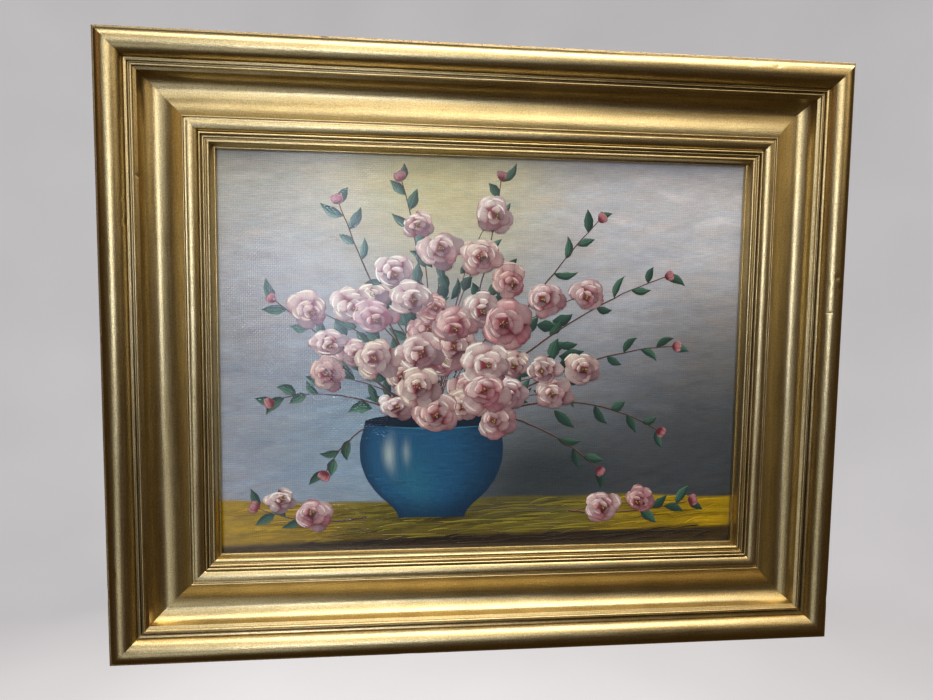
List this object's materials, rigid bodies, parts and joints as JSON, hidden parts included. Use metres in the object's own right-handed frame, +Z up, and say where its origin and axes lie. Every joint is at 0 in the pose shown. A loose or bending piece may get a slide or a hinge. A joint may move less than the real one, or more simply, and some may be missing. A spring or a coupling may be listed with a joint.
{
  "type": "framed oil painting",
  "caption": "Framed oil painting on stretched canvas: a rectangular mitred gilt moulding with an outer roll, a deep scoop and inner beads, made to hang on a wall.",
  "frame": {"origin": "on the flat back of the top rail of the moulding, at its middle, where the work is fixed to the wall", "axes": "+X to the right as seen from the front, +Y back into the wall, +Z up; the picture faces -Y"},
  "size_m": [0.55, 0.0444, 0.4496],
  "materials": {
    "gilt_moulding": "satin gilt over carved and sanded wood",
    "painted_canvas": "oil paint with a thin varnish on primed canvas, bare weave on the back",
    "stretcher_pine": "bare planed pine"
  },
  "bodies": {
    "root": {"frame_rail_top": "gilt_moulding", "frame_rail_bottom": "gilt_moulding", "frame_rail_left": "gilt_moulding", "frame_rail_right": "gilt_moulding", "painted_canvas": "painted_canvas", "stretcher_bar_top": "stretcher_pine", "stretcher_bar_bottom": "stretcher_pine", "stretcher_bar_left": "stretcher_pine", "stretcher_bar_right": "stretcher_pine"}
  },
  "joints": []
}
